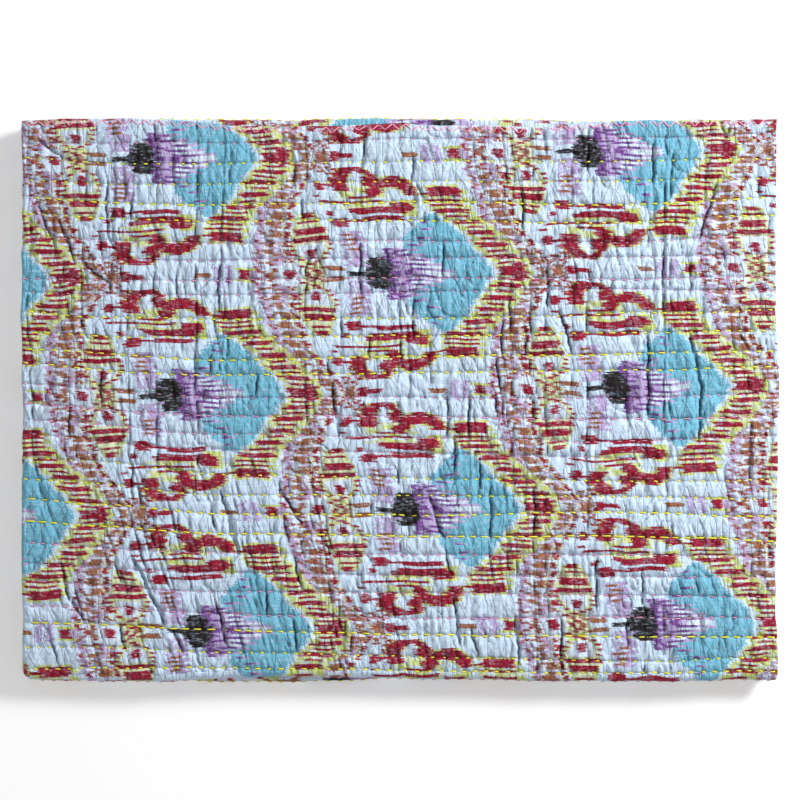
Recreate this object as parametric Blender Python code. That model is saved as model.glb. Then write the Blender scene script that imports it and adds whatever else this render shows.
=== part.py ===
"""A hand-stitched quilt, folded in half across its width and then back and forth into four runs.

X runs from the book fold on the left to the free side edges on the right, Y runs from the
front folds to the hem line at the back, Z is up and the underside rests on Z = 0.
The cloth starts as a flat slab in index space: u counts the stations across its width, v the
stations along its length. Each point is then carried to its place in the folded stack.
"""

import math
from bisect import bisect_right

import bmesh
import bpy

MM = 0.001
SNAP = 1e-6

# Folded size
HALF_WIDTH = 380.0
HALF_DEPTH = 284.0

# Cloth and folding
SHEET = 3.0
LAYER_GAP = 1.0
RUN_GAP = 1.0
OFFSET = (SHEET + LAYER_GAP) / 2
RUN_THICKNESS = 2 * OFFSET + SHEET
PITCH = RUN_THICKNESS + RUN_GAP
FOLD_RADIUS = PITCH / 2
RUNS = 4
FOLD_STEPS = 6
BOOK_STEPS = 6

# Quilted face of the top run
GROOVE = 1.1
PUFF = 0.9
COLUMNS_PER_CELL = 6
ROWS_PER_CELL = 13
FACE_BORDER = 14.0

# Soft rise of the upper sheet between its edges
LOFT = 2.2
LOFT_EDGE = 60.0

# Stations across the cloth on the upper half of each run, from the free side edge to the book fold
UPPER_X = (380.0, 376.0, 294.0, 219.0, 147.0, 71.0, 0.0, -50.0, -119.0, -186.0, -241.0, -304.0, -373.0, -376.5)

# Stations on the lower half of each run, from the book fold to the free side edge
LOWER_X = (-376.5, -373.0, -304.0, -241.0, -186.0, -119.0, -50.0, 71.0, 219.0, 380.0)

# Outline of the folded stack, at places that are stations of both halves
# x: place across the stack
# back: back fold, between the second and third runs
# front: front fold of the top run
# low: front fold of the bottom run
# tail: end of the bottom run at the back
OUTLINE = (
    # x, back, front, low, tail
    (-380.0, 279.5, -276.0, -279.0, 277.0),
    (-373.0, 280.5, -280.5, -280.5, 277.5),
    (-304.0, 281.5, -283.0, -281.0, 278.0),
    (-241.0, 283.5, -283.0, -282.0, 279.0),
    (-186.0, 284.0, -279.5, -284.0, 279.0),
    (-119.0, 281.5, -278.0, -284.5, 278.0),
    (-50.0, 284.0, -278.5, -283.0, 278.0),
    (71.0, 283.5, -281.0, -278.0, 279.0),
    (219.0, 281.5, -283.0, -279.5, 278.0),
    (380.0, 280.0, -281.5, -279.0, 277.0),
)

# Hem of the top run at the back
HEM = (
    # x, hem
    (-380.0, 282.5),
    (-304.0, 283.0),
    (-241.0, 282.0),
    (-186.0, 277.5),
    (-119.0, 274.0),
    (-50.0, 277.0),
    (0.0, 278.0),
    (71.0, 276.0),
    (147.0, 274.5),
    (219.0, 280.5),
    (294.0, 282.5),
    (380.0, 282.5),
)

# Wave of the free side edges and of the book fold on each run, from the bottom run up
# side: mean inset of the free edges
# side_wave, book_wave: height of the wave, phase: where it starts
EDGES = (
    # side, side_wave, book_wave, phase
    (3.0, 1.2, 0.6, 0.4),
    (1.8, 1.5, 0.7, 2.1),
    (2.4, 1.2, 0.6, 4.0),
    (0.6, 1.0, 0.8, 5.2),
)
SIDE_ZONE = 161.0
BOOK_ZONE = 135.0

# How far the stack is pressed down toward its edges and corners, and how wide those zones are
PRESS_SIDE = 0.07
PRESS_FRONT = 0.04
PRESS_WAVE = 0.025
PRESS_SIDE_ZONE = 130.0
PRESS_FRONT_ZONE = 110.0

# Heights of the stitched rows at the middle of the top face, from the back to the front
ROWS_Y = (
    261.0, 239.0, 220.0, 198.0, 180.0, 160.0, 143.5, 122.5, 108.5,
    84.0, 65.0, 42.0, 26.5, 2.5, -15.5, -37.5, -53.0,
    -78.0, -96.0, -115.0, -137.5, -154.5, -176.5, -194.0, -218.0,
    -236.0, -257.0,
)

# How far the rows climb toward the book fold
ROW_CLIMB = (
    # x, climb
    (-380.0, 12.0),
    (-342.0, 10.0),
    (-300.0, 6.0),
    (-260.0, 2.5),
    (-220.0, 0.0),
    (380.0, 0.0),
)

# Main creases across the rows of the top face: soft troughs
CREASES = (
    # x0, y0, x1, y1, depth
    (-265.0, -162.0, -237.0, -220.0, 1.6),
    (-178.0, -94.0, -161.0, -152.0, 1.6),
    (-120.0, -90.0, -98.0, -123.0, 1.2),
    (-328.0, -199.0, -320.0, -218.0, 1.0),
    (-268.0, -71.0, -268.0, -92.0, 0.9),
    (-294.0, 216.0, -294.0, 171.0, 1.0),
    (-182.0, 141.0, -182.0, 92.0, 1.1),
    (-40.0, 158.0, -40.0, 112.0, 1.0),
    (42.0, 157.0, 42.0, 125.0, 0.9),
    (124.0, 210.0, 124.0, 172.0, 0.9),
    (149.0, 135.0, 149.0, 93.0, 0.9),
    (319.0, 215.0, 302.0, 164.0, 1.2),
    (265.0, 144.0, 265.0, 92.0, 0.9),
    (294.0, 65.0, 302.0, -38.0, 1.3),
    (250.0, 63.0, 250.0, -14.0, 1.0),
    (163.0, 87.0, 173.0, 50.0, 1.0),
    (98.0, 40.0, 98.0, 9.0, 1.0),
    (49.0, 2.0, 49.0, -34.0, 1.0),
    (-67.0, 12.0, -60.0, -36.0, 1.0),
    (-143.0, 25.0, -143.0, 5.0, 0.8),
    (92.0, -90.0, 92.0, -141.0, 1.1),
    (32.0, -98.0, 43.0, -136.0, 1.2),
    (136.0, -90.0, 136.0, -133.0, 1.0),
    (163.0, -221.0, 163.0, -273.0, 1.0),
    (116.0, -218.0, 121.0, -262.0, 1.0),
    (197.0, -161.0, 197.0, -205.0, 0.9),
    (55.0, -199.0, 61.0, -244.0, 1.0),
    (-183.0, -205.0, -173.0, -244.0, 1.0),
)
CREASE_WIDTH = 7.0
CREASE_END = 8.0

# Puckers between the rows
PUCKER_PITCH = 23.0
PUCKER = 0.55


def lookup(table, x, column):
    """Read one column of a table at x, straight between its rows."""
    places = [row[0] for row in table]
    at = min(max(bisect_right(places, x), 1), len(table) - 1)
    before, after = table[at - 1], table[at]
    part = min(max((x - before[0]) / (after[0] - before[0]), 0.0), 1.0)
    return before[column] + part * (after[column] - before[column])


def station(values, index):
    """Value at a whole or part index in a list of stations."""
    low = min(int(index), len(values) - 2)
    return values[low] + (index - low) * (values[low + 1] - values[low])


def smooth(value):
    """Ease from 0 to 1."""
    value = min(max(value, 0.0), 1.0)
    return value * value * (3.0 - 2.0 * value)


def row_climb(x):
    return lookup(ROW_CLIMB, x, 1)


def face_stations():
    """Heights along the top run: hem, stitched rows with the puffs between them, start of the front fold."""
    lines = []
    for row, height in enumerate(ROWS_Y):
        lines.append(height)
        if row + 1 < len(ROWS_Y):
            lines.append((height + ROWS_Y[row + 1]) / 2)
    return lines


FACE_LINES = face_stations()
FACE_CELLS = (len(FACE_LINES) - 1) // ROWS_PER_CELL
TOP_CELLS = FACE_CELLS + 2
PLAIN_CELLS = 3
U_UPPER = len(UPPER_X) - 1
U_BOOK = U_UPPER + BOOK_STEPS
U_COUNT = U_BOOK + len(LOWER_X) - 1


def run_table():
    """Each run and fold in turn along the cloth, as (kind, number, first v, last v)."""
    table = []
    v = 0
    for run in range(RUNS):
        cells = TOP_CELLS if run == 0 else PLAIN_CELLS
        table.append(("run", run, v, v + cells))
        v += cells
        if run + 1 < RUNS:
            table.append(("fold", run, v, v + FOLD_STEPS))
            v += FOLD_STEPS
    return table, v


RUN_TABLE, V_COUNT = run_table()


def across(u, side):
    """Place of u on the doubled section: x before the edge waves, and how far above the run's middle."""
    reach = OFFSET + side * SHEET / 2
    if u <= U_UPPER:
        return station(UPPER_X, u), reach
    if u >= U_BOOK:
        return station(LOWER_X, u - U_BOOK), -reach
    angle = math.pi * (u - U_UPPER) / BOOK_STEPS
    return UPPER_X[-1] - reach * math.sin(angle), reach * math.cos(angle)


def run_ends(run, x):
    """Y where a run starts and ends, counting down from the top run, with the folds' rounds left out."""
    reach = FOLD_RADIUS + OFFSET + SHEET / 2
    hem = lookup(HEM, x, 1)
    back = lookup(OUTLINE, x, 1) - reach
    front = lookup(OUTLINE, x, 2) + reach
    low = lookup(OUTLINE, x, 3) + reach
    tail = lookup(OUTLINE, x, 4)
    ends = ((hem, front), (front, back), (back, low), (low, tail))
    return ends[run]


def run_level(run):
    """Height of the middle of a run, counting down from the top run."""
    return RUN_THICKNESS / 2 + PITCH * (RUNS - 1 - run)


def side_shift(run, x, y):
    """Small move in x that gives each run its own wavy book fold and free edge."""
    side, side_wave, book_wave, phase = EDGES[RUNS - 1 - run]
    right = smooth((x - HALF_WIDTH + SIDE_ZONE) / SIDE_ZONE)
    left = smooth((BOOK_ZONE - HALF_WIDTH - x) / BOOK_ZONE)
    wave = math.sin(0.019 * y + phase) + 0.5 * math.sin(0.043 * y + 2.0 * phase)
    shift = -right * (side + side_wave * wave)
    shift += left * book_wave * (1.0 + math.sin(0.026 * y + 1.7 * phase))
    return shift


def crease_depth(x, y, crease):
    """How deep one crease is at a place on the face."""
    x0, y0, x1, y1, depth = crease
    length = math.hypot(x1 - x0, y1 - y0)
    along = ((x - x0) * (x1 - x0) + (y - y0) * (y1 - y0)) / length
    aside = ((x - x0) * (y1 - y0) - (y - y0) * (x1 - x0)) / length
    start = smooth((along + CREASE_END) / (2 * CREASE_END))
    end = smooth((length + CREASE_END - along) / (2 * CREASE_END))
    return depth * start * end * math.exp(-((aside / CREASE_WIDTH) ** 2))


def quilting(x, y):
    """Height of the stitched top face above the plain sheet."""
    local = y - row_climb(x)
    if local > FACE_LINES[0] or local < FACE_LINES[-1]:
        return 0.0
    line = 0
    while line < len(FACE_LINES) - 2 and local < FACE_LINES[line + 1]:
        line += 1
    part = (FACE_LINES[line] - local) / (FACE_LINES[line] - FACE_LINES[line + 1])
    from_row = part if line % 2 == 0 else 1.0 - part
    puff = math.sin(from_row * math.pi / 2)
    swing = math.sin(2 * math.pi * x / PUCKER_PITCH + 2.3 * line + 1.3 * math.sin(0.05 * x + line))
    height = puff * (GROOVE + PUFF + PUCKER * swing) - GROOVE
    height -= sum(crease_depth(x, y, crease) for crease in CREASES)
    return height * smooth((UPPER_X[1] - 1.0 - abs(x)) / FACE_BORDER)


def loft(x, y):
    """Soft rise of the upper sheet of the top run between its edges."""
    edge_x = smooth((UPPER_X[1] - abs(x)) / LOFT_EDGE)
    edge_y = smooth((HALF_DEPTH - 2 * FOLD_RADIUS - abs(y)) / LOFT_EDGE)
    swell = 0.62 + 0.2 * math.sin(0.013 * x + 0.6) * math.cos(0.017 * y) + 0.18 * math.sin(0.021 * y - 0.008 * x)
    return LOFT * edge_x * edge_y * swell


def press(x, y):
    """Part of its full height that the stack keeps at a place."""
    side = 1.0 - smooth((HALF_WIDTH - abs(x)) / PRESS_SIDE_ZONE)
    front = 1.0 - smooth((HALF_DEPTH - abs(y)) / PRESS_FRONT_ZONE)
    wave = math.sin(0.011 * x + 0.9) * math.cos(0.015 * y + 0.4)
    return 1.0 - PRESS_SIDE * side - PRESS_FRONT * front + PRESS_WAVE * wave


def top_run_height(v, x, hem, front):
    """Y of a point of the top run, on its stitched rows between the hem and the front fold."""
    last = TOP_CELLS
    if v <= 1:
        return hem + v * (FACE_LINES[0] + row_climb(x) - hem)
    if v >= last - 1:
        end = FACE_LINES[-1] + row_climb(x)
        return end + (v - last + 1) * (front - end)
    return station(FACE_LINES, (v - 1) * ROWS_PER_CELL) + row_climb(x)


def carry(u, v, side):
    """Place of a point of the slab in the folded stack, in millimetres."""
    x, layer = across(u, side)
    for kind, run, first, last in RUN_TABLE:
        if v <= last:
            break
    facing = 1.0 if run % 2 == 0 else -1.0
    start, end = run_ends(run, x)
    level = run_level(run)
    if kind == "run":
        y = start + (v - first) / (last - first) * (end - start)
        z = level + facing * layer
        if run == 0:
            y = top_run_height(v, x, start, end)
            if u <= U_UPPER:
                z += loft(x, y)
            if side > 0 and 1 <= v <= TOP_CELLS - 1 and 1 <= u <= U_UPPER - 1:
                z += quilting(x, y)
        return x + side_shift(run, x, y), y, z * press(x, y)
    turn = math.pi * (v - first) / FOLD_STEPS
    reach = FOLD_RADIUS + facing * layer
    y = end - facing * reach * math.sin(turn)
    z = level - FOLD_RADIUS + reach * math.cos(turn)
    eased = smooth(turn / math.pi)
    shift = side_shift(run, x, end) * (1.0 - eased) + side_shift(run + 1, x, end) * eased
    return x + shift, y, z * press(x, y)


def clear_scene():
    for item in list(bpy.data.objects):
        bpy.data.objects.remove(item, do_unlink=True)


def refine(mesh, axis, pieces):
    """Cut the edges of the stitched area that run along one axis."""
    low = (1, 1)
    high = (U_UPPER - 1, TOP_CELLS - 1)
    cut = []
    for edge in mesh.edges:
        a, b = edge.verts
        inside = all(
            low[k] - SNAP <= vert.co[k] <= high[k] + SNAP and vert.co.z > 0
            for vert in (a, b)
            for k in (0, 1)
        )
        if inside and abs(a.co[1 - axis] - b.co[1 - axis]) < SNAP:
            cut.append(edge)
    bmesh.ops.subdivide_edges(mesh, edges=cut, cuts=pieces - 1, use_grid_fill=False)


def cloth_slab():
    """Closed slab in index space, its top face finer where the stitching shows."""
    mesh = bmesh.new()
    grid = bmesh.ops.create_grid(mesh, x_segments=U_COUNT, y_segments=V_COUNT, size=0.5)
    for vert in grid["verts"]:
        vert.co.x = round((vert.co.x + 0.5) * U_COUNT)
        vert.co.y = round((vert.co.y + 0.5) * V_COUNT)
        vert.co.z = 1.0
    lower = bmesh.ops.extrude_face_region(mesh, geom=list(mesh.faces))
    for item in lower["geom"]:
        if isinstance(item, bmesh.types.BMVert):
            item.co.z = -1.0
    refine(mesh, 1, ROWS_PER_CELL)
    refine(mesh, 0, COLUMNS_PER_CELL)
    return mesh


def fold_up(mesh):
    """Carry every point of the slab to its place, with the origin at the bottom centre."""
    places = [carry(vert.co.x, vert.co.y, vert.co.z) for vert in mesh.verts]
    low = [min(place[k] for place in places) for k in range(3)]
    high = [max(place[k] for place in places) for k in range(3)]
    middle = ((low[0] + high[0]) / 2, (low[1] + high[1]) / 2, low[2])
    for vert, place in zip(mesh.verts, places):
        vert.co = [(place[k] - middle[k]) * MM for k in range(3)]
    bmesh.ops.triangulate(mesh, faces=[face for face in mesh.faces if len(face.verts) > 4])
    bmesh.ops.recalc_face_normals(mesh, faces=mesh.faces)


def make_material(name, colour, roughness):
    material = bpy.data.materials.new(name)
    material.use_nodes = True
    shader = material.node_tree.nodes["Principled BSDF"]
    shader.inputs["Base Color"].default_value = colour
    shader.inputs["Roughness"].default_value = roughness
    return material


def build():
    clear_scene()
    collection = bpy.data.collections.new("kantha_quilt")
    bpy.context.scene.collection.children.link(collection)
    mesh = cloth_slab()
    fold_up(mesh)
    data = bpy.data.meshes.new("quilt")
    mesh.to_mesh(data)
    mesh.free()
    quilt = bpy.data.objects.new("quilt", data)
    collection.objects.link(quilt)
    data.materials.append(make_material("quilted_cotton", (0.45, 0.62, 0.74, 1.0), 0.9))


build()
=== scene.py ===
"""Looks of a folded, hand-stitched quilt: printed cotton in eight layers, stitches, camera and light.

Lengths are in millimetres until a mesh is made. X runs from the book fold to the free side edges,
Y from the front folds to the hem, Z up from the surface.
"""

import functools
import math

import bmesh
import bpy
import numpy as np
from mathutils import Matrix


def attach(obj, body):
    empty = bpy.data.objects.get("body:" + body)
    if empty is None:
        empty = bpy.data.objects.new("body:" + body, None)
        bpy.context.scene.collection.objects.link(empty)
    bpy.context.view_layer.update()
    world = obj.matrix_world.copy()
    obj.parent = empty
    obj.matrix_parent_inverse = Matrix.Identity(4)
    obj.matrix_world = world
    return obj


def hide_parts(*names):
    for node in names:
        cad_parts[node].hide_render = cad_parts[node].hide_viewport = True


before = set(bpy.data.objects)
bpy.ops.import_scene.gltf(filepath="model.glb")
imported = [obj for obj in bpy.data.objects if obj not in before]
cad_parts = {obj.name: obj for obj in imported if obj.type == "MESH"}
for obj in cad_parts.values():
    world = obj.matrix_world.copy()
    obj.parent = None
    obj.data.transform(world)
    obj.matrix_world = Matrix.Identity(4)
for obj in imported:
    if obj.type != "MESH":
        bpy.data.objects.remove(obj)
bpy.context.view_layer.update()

MM = 0.001
SNAP = 1e-4
SEED = 11

# Cloth and folding, as in the solid
HALF_WIDTH = 380.0
HALF_DEPTH = 284.0
SHEET = 3.0
OFFSET = 2.0
PITCH = 8.0
FOLD_RADIUS = PITCH / 2
RUN_THICKNESS = 2 * OFFSET + SHEET
RUNS = 4
REACH = FOLD_RADIUS + OFFSET + SHEET / 2
ROW_PITCH = 19.5
ROW_START = 1.4
CENTRE_X = 0.35
CENTRE_Y = -0.25

# Outline of the folded stack
# x: place across the stack
# back: back fold, between the second and third runs
# front: front fold of the top run
# low: front fold of the bottom run
# tail: end of the bottom run at the back
OUTLINE = (
    # x, back, front, low, tail
    (-380.0, 279.5, -276.0, -279.0, 277.0),
    (-373.0, 280.5, -280.5, -280.5, 277.5),
    (-304.0, 281.5, -283.0, -281.0, 278.0),
    (-241.0, 283.5, -283.0, -282.0, 279.0),
    (-186.0, 284.0, -279.5, -284.0, 279.0),
    (-119.0, 281.5, -278.0, -284.5, 278.0),
    (-50.0, 284.0, -278.5, -283.0, 278.0),
    (71.0, 283.5, -281.0, -278.0, 279.0),
    (219.0, 281.5, -283.0, -279.5, 278.0),
    (380.0, 280.0, -281.5, -279.0, 277.0),
)

# Hem of the top run at the back
HEM = (
    # x, hem
    (-380.0, 282.5),
    (-304.0, 283.0),
    (-241.0, 282.0),
    (-186.0, 277.5),
    (-119.0, 274.0),
    (-50.0, 277.0),
    (0.0, 278.0),
    (71.0, 276.0),
    (147.0, 274.5),
    (219.0, 280.5),
    (294.0, 282.5),
    (380.0, 282.5),
)

# Wave of the free side edges and of the book fold on each run, from the bottom run up
EDGES = (
    # side, side_wave, book_wave, phase
    (3.0, 1.2, 0.6, 0.4),
    (1.8, 1.5, 0.7, 2.1),
    (2.4, 1.2, 0.6, 4.0),
    (0.6, 1.0, 0.8, 5.2),
)
SIDE_ZONE = 161.0
BOOK_ZONE = 135.0

PRESS_SIDE = 0.07
PRESS_FRONT = 0.04
PRESS_WAVE = 0.025
PRESS_SIDE_ZONE = 130.0
PRESS_FRONT_ZONE = 110.0

WAVER = 1.5
WAVER_ZONE = 45.0

LOFT = 2.2
LOFT_EDGE = 60.0

# Stitched rows from the back to the front: thread, then height at each place across
ROW_X = (-376.0, -292.0, -201.0, 20.0, 222.0, 375.0)
PINK, YELLOW = 0, 1
ROWS = (
    # thread, and y at each of ROW_X
    (PINK, 257, 257, 258, 263, 262, 268),
    (YELLOW, 245, 237, 237, 240, 239, 243),
    (YELLOW, 221, 217, 217, 220, 219, 224),
    (YELLOW, 204, 197, 195, 199, 195, 204),
    (YELLOW, 189, 182, 179, 181, 177, 187),
    (PINK, 165, 161, 157, 160, 158, 167),
    (PINK, 147, 142, 140, 143, 143, 146),
    (PINK, 122, 121, 120, 123, 121, 124),
    (PINK, 109, 106, 106, 108, 112, 110),
    (YELLOW, 89, 83, 81, 82, 87, 90),
    (YELLOW, 70, 64, 62, 65, 67, 70),
    (YELLOW, 52, 46, 40, 44, 46, 50),
    (YELLOW, 38, 30, 24, 28, 30, 33),
    (PINK, 18, 9, 3, 3, 2, 6),
    (PINK, -3, -10, -16, -16, -20, -15),
    (PINK, -18, -26, -34, -38, -42, -35),
    (PINK, -32, -41, -50, -53, -59, -53),
    (YELLOW, -58, -62, -74, -78, -81, -80),
    (YELLOW, -78, -84, -95, -96, -96, -99),
    (YELLOW, -98, -105, -114, -115, -113, -117),
    (YELLOW, -120, -127, -134, -137, -136, -141),
    (PINK, -142, -148, -153, -155, -155, -158),
    (PINK, -164, -168, -172, -177, -177, -178),
    (PINK, -181, -186, -192, -194, -195, -197),
    (PINK, -206, -208, -214, -219, -218, -219),
    (YELLOW, -224, -225, -230, -236, -237, -238),
    (YELLOW, -248, -248, -252, -258, -263, -259),
    (YELLOW, -270, -269, -268, -273, -274, -273),
)
ROW_WANDER = 1.1
STITCH_PERIOD = 12.0

# Relief of the quilted face
RAISE = 1.6
RAISE_EDGE = 46.0
GROOVE = 2.2
GROOVE_WIDTH = 1.4
PUFF = 2.2
PUFF_WIDTH = 5.0
GATHER = 0.75
GATHER_REACH = 6.0
PUCKER = 4.6
PUCKER_WIDTH = 1.1
PUCKER_STEP = (4.0, 10.0)
PUCKER_WANDER = 3.0
PUCKER_LEAN = 0.35
STEEP = 0.55
GENTLE = 1.8
SWELL = 1.1
CRUMPLE = 0.5
CRACK = 2.2
CRACK_WIDTH = 0.09
LOWEST = 2.2

# Main creases: from, to and depth
CREASES = (
    # x0, y0, x1, y1, depth
    (-294, 216, -294, 171, 1.0),
    (-246, 279, -246, 260, 1.0),
    (-269, 199, -269, 181, 0.8),
    (-223, 130, -223, 106, 0.8),
    (-105, 235, -105, 217, 0.8),
    (-97, 203, -97, 182, 0.8),
    (-34, 260, -34, 244, 0.8),
    (-39, 158, -39, 112, 1.1),
    (-181, 134, -181, 92, 1.1),
    (14, 244, 14, 224, 1.0),
    (18, 217, 23, 203, 0.8),
    (107, 237, 107, 221, 0.8),
    (124, 210, 124, 173, 1.1),
    (44, 157, 44, 125, 0.9),
    (149, 134, 149, 92, 1.1),
    (255, 255, 255, 219, 1.1),
    (282, 282, 282, 269, 0.9),
    (322, 278, 328, 267, 0.9),
    (333, 278, 328, 267, 0.9),
    (319, 215, 302, 164, 1.3),
    (265, 145, 265, 92, 1.1),
    (363, 215, 363, 205, 0.7),
    (293, 138, 293, 112, 0.9),
    (-332, -5, -332, -34, 1.0),
    (-299, 25, -299, -2, 0.9),
    (-268, -70, -268, -91, 1.0),
    (-204, -73, -204, -85, 0.8),
    (-143, 25, -143, 5, 0.9),
    (-71, 40, -71, 27, 0.8),
    (-67, 12, -60, -36, 1.3),
    (-30, 64, -30, 45, 0.8),
    (-58, 82, -58, 65, 0.8),
    (-120, -80, -120, -99, 0.8),
    (14, 101, 14, 63, 1.0),
    (111, 101, 111, 73, 1.0),
    (103, 73, 103, 44, 1.0),
    (127, 63, 127, 42, 0.9),
    (98, 40, 101, 9, 1.2),
    (98, 4, 98, -15, 1.0),
    (49, 2, 49, -35, 1.2),
    (70, 2, 70, -36, 1.2),
    (135, 2, 135, -17, 0.9),
    (162, 87, 173, 50, 1.2),
    (81, -63, 81, -89, 1.0),
    (56, -40, 56, -70, 1.0),
    (293, 65, 303, 14, 1.3),
    (303, 14, 301, -39, 1.3),
    (250, 63, 250, -15, 1.3),
    (341, 69, 351, 53, 0.8),
    (350, 26, 350, 8, 0.8),
    (352, -40, 352, -78, 1.0),
    (-265, -162, -237, -220, 1.9),
    (-339, -167, -331, -202, 1.2),
    (-329, -199, -320, -218, 1.1),
    (-287, -161, -279, -181, 1.1),
    (-281, -225, -276, -244, 1.0),
    (-227, -231, -217, -252, 1.1),
    (-205, -248, -198, -272, 1.1),
    (-178, -94, -161, -153, 1.8),
    (-120, -90, -98, -123, 1.3),
    (-115, -118, -112, -140, 1.1),
    (-76, -138, -69, -159, 1.0),
    (-105, -159, -98, -188, 1.2),
    (-133, -190, -133, -213, 1.1),
    (-183, -206, -173, -244, 1.3),
    (-107, -220, -102, -249, 1.1),
    (-54, -222, -54, -241, 0.9),
    (-48, -236, -48, -253, 0.9),
    (31, -98, 44, -136, 1.5),
    (92, -90, 92, -141, 1.2),
    (136, -90, 136, -133, 1.2),
    (46, -151, 52, -173, 1.1),
    (55, -199, 61, -244, 1.4),
    (116, -218, 121, -262, 1.3),
    (163, -221, 163, -273, 1.3),
    (198, -162, 198, -206, 1.2),
    (73, -232, 79, -255, 1.1),
    (244, -173, 244, -203, 1.1),
    (229, -220, 229, -245, 1.1),
    (321, -238, 321, -249, 0.8),
    (246, -267, 246, -278, 0.8),
    (297, -180, 302, -193, 0.8),
    (-362, 262, -340, 244, 1.2),
    (-352, -241, -344, -263, 0.9),
    (-364, 197, -350, 162, 1.1),
    (-342, 180, -326, 139, 1.2),
    (-318, 139, -292, 117, 1.1),
)
CREASE_GAIN = 4.2
CREASE_WIDTH = 0.95
CREASE_END = 9.0


def smooth(value):
    """Ease from 0 to 1."""
    value = np.clip(value, 0.0, 1.0)
    return value * value * (3.0 - 2.0 * value)


def lookup(table, x, column):
    """Read one column of a table at x, straight between its rows."""
    places = [row[0] for row in table]
    return np.interp(x, places, [row[column] for row in table])


@functools.lru_cache(maxsize=None)
def drift_grid(seed):
    """Random values that one kind of unevenness is read from."""
    return np.random.default_rng(seed).uniform(-1.0, 1.0, (256, 256))


def drift(x, y, cell, seed):
    """Smooth unevenness between -1 and 1, about one swing in each cell."""
    x, y = np.broadcast_arrays(np.asarray(x, float) / cell, np.asarray(y, float) / cell)
    grid = drift_grid(seed)
    ix, iy = np.floor(x).astype(int), np.floor(y).astype(int)
    tx, ty = smooth(x - ix), smooth(y - iy)
    ix, iy = ix % 255, iy % 255
    low = grid[iy, ix] * (1 - tx) + grid[iy, ix + 1] * tx
    high = grid[iy + 1, ix] * (1 - tx) + grid[iy + 1, ix + 1] * tx
    return low * (1 - ty) + high * ty


def run_ends(run, x):
    """Y where a run starts and ends, counting down from the top run, with the folds' rounds left out."""
    back = lookup(OUTLINE, x, 1) - REACH
    front = lookup(OUTLINE, x, 2) + REACH
    low = lookup(OUTLINE, x, 3) + REACH
    ends = (
        (lookup(HEM, x, 1), front),
        (front, back),
        (back, low),
        (low, lookup(OUTLINE, x, 4)),
    )
    return ends[run]


def run_level(run):
    """Height of the middle of a run, counting down from the top run."""
    return RUN_THICKNESS / 2 + PITCH * (RUNS - 1 - run)


def side_shift(run, x, y):
    """Small move in x that gives each run its own wavy book fold and free edge."""
    side, side_wave, book_wave, phase = EDGES[RUNS - 1 - run]
    right = smooth((x - HALF_WIDTH + SIDE_ZONE) / SIDE_ZONE)
    left = smooth((BOOK_ZONE - HALF_WIDTH - x) / BOOK_ZONE)
    wave = np.sin(0.019 * y + phase) + 0.5 * np.sin(0.043 * y + 2.0 * phase)
    shift = -right * (side + side_wave * wave)
    return shift + left * book_wave * (1.0 + np.sin(0.026 * y + 1.7 * phase))


def waver(run, x, y):
    """Small uneven move in x and y of a run's edges and folds, none inside."""
    near_side = smooth(1.0 - (HALF_WIDTH - np.abs(x)) / WAVER_ZONE)
    near_end = smooth(1.0 - (HALF_DEPTH - np.abs(y)) / WAVER_ZONE)
    shift_x = near_side * drift(0.4 * x, y, 21.0, SEED + 80 + run)
    shift_y = near_end * drift(x, 0.4 * y, 21.0, SEED + 90 + run)
    return WAVER * shift_x, WAVER * shift_y


def loft(x, y):
    """Soft rise of the upper sheet of the top run between its edges."""
    edge_x = smooth((HALF_WIDTH - 4.0 - np.abs(x)) / LOFT_EDGE)
    edge_y = smooth((HALF_DEPTH - 2 * FOLD_RADIUS - np.abs(y)) / LOFT_EDGE)
    swell = 0.62 + 0.2 * np.sin(0.013 * x + 0.6) * np.cos(0.017 * y) + 0.18 * np.sin(0.021 * y - 0.008 * x)
    return LOFT * edge_x * edge_y * swell


def press(x, y):
    """Part of its full height that the stack keeps at a place."""
    side = 1.0 - smooth((HALF_WIDTH - np.abs(x)) / PRESS_SIDE_ZONE)
    front = 1.0 - smooth((HALF_DEPTH - np.abs(y)) / PRESS_FRONT_ZONE)
    wave = np.sin(0.011 * x + 0.9) * np.cos(0.015 * y + 0.4)
    return 1.0 - PRESS_SIDE * side - PRESS_FRONT * front + PRESS_WAVE * wave


# Stitched rows


def row_height(row, x):
    """Y of one stitched row across the top face, from the hem, row 0, to the front fold, past the last."""
    if row == 0:
        return lookup(HEM, x, 1)
    if row > len(ROWS):
        return run_ends(0, x)[1]
    heights = ROWS[row - 1][1:]
    y = np.interp(x, ROW_X, heights)
    y = 0.5 * y + 0.25 * np.interp(x - 28.0, ROW_X, heights) + 0.25 * np.interp(x + 28.0, ROW_X, heights)
    y = y + ROW_WANDER * drift(x, 37.0 * row, 46.0, SEED + row)
    return np.maximum(y, run_ends(0, x)[1] + 1.0) if row == len(ROWS) else y


def stitch_phase(row, x):
    """Count of stitches along a row: whole numbers are the middles of stitches."""
    uneven = 0.28 * drift(x, 11.0 * row, 55.0, SEED + 60) + 0.1 * drift(x, 11.0 * row, 17.0, SEED + 61)
    return (x + HALF_WIDTH) / STITCH_PERIOD + 0.37 * row * row + uneven


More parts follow.
